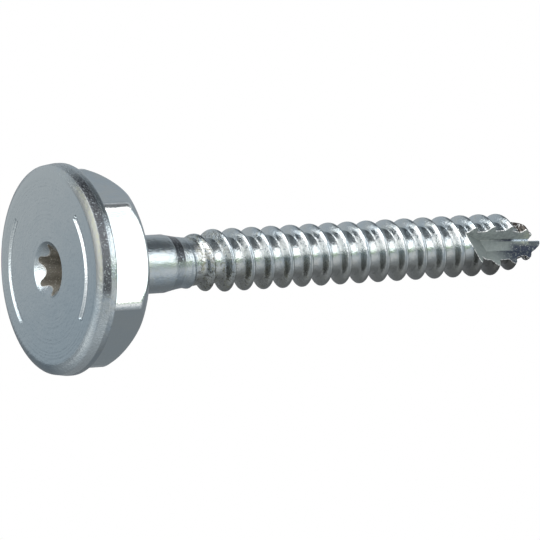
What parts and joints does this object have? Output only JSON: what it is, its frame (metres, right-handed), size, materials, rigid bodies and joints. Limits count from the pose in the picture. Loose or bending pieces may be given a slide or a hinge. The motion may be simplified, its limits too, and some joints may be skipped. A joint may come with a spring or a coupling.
{
  "type": "levelling screw",
  "caption": "Zinc-plated levelling screw: coarse wood thread with a cutting flute, plain neck, and a hexagon head with a round flange and a six-lobed recess.",
  "frame": {"origin": "centre of the flat face of the head, which is also the surface it stands on", "axes": "+Z along the screw from the head's face to its point; +Y square to one flat of the hexagon; the cutting flute opens 7 degrees short of +Y, on the +X side"},
  "size_m": [0.0232, 0.0232, 0.064],
  "materials": {
    "zinc_plated_steel": "satin"
  },
  "bodies": {
    "root": {"screw": "zinc_plated_steel"}
  },
  "joints": []
}
